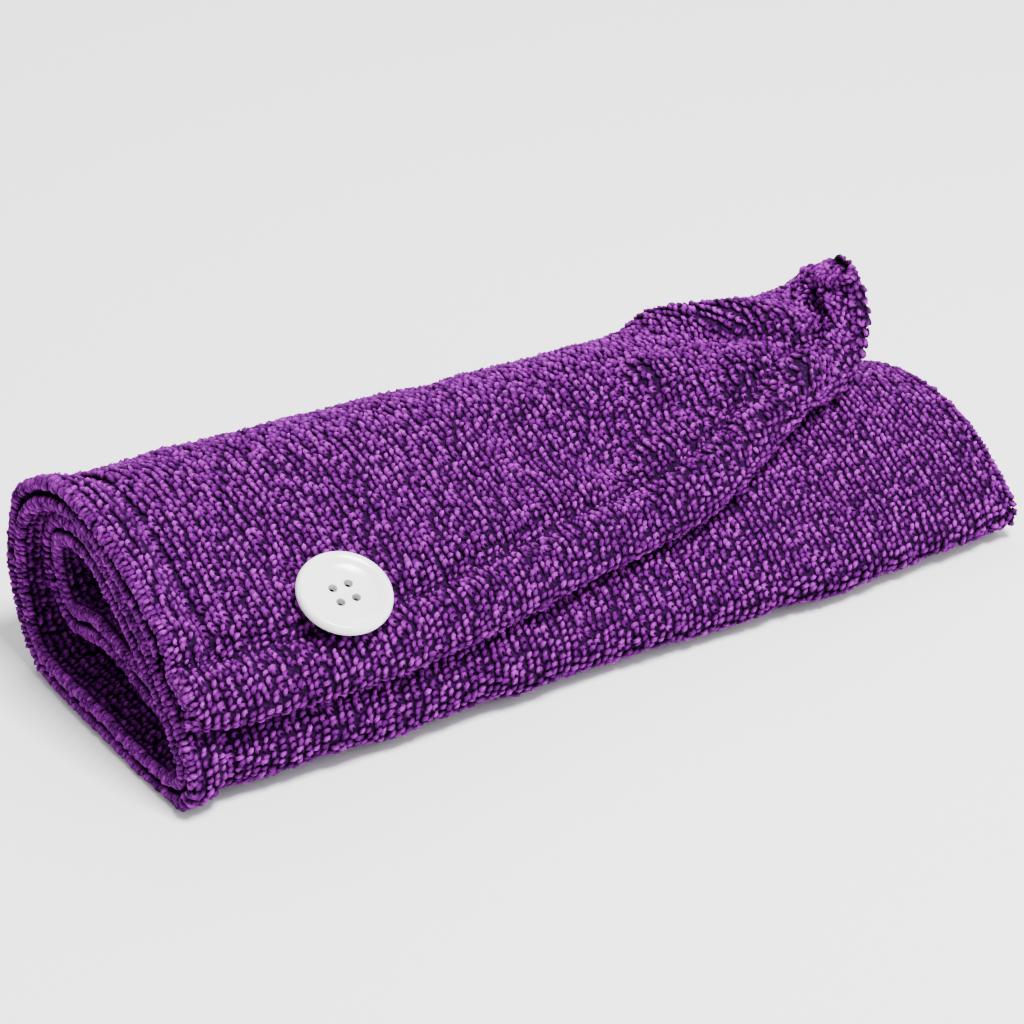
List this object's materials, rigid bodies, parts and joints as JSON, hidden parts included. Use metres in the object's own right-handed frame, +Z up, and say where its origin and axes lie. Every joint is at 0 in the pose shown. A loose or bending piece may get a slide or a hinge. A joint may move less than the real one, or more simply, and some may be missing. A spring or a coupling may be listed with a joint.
{
  "type": "hair towel",
  "caption": "Rolled-up microfibre hair towel lying on its side, with a diagonal hemmed flap, a curled corner and a round button.",
  "frame": {"origin": "under the middle of the rolled towel's box, on the surface that it lies on", "axes": "+X along the roll from the buttoned near end to the curled corner's end, +Y from the front face to the back, +Z up"},
  "size_m": [0.2536, 0.1002, 0.0625],
  "materials": {
    "outer_pile": "matte looped chenille pile",
    "inner_pile": "matte looped chenille pile",
    "button_plastic": "glossy",
    "thread": "matte"
  },
  "bodies": {
    "root": {"outer_cloth": "outer_pile", "inner_cloth": "inner_pile", "button": "button_plastic", "button_thread": "thread"}
  },
  "joints": []
}
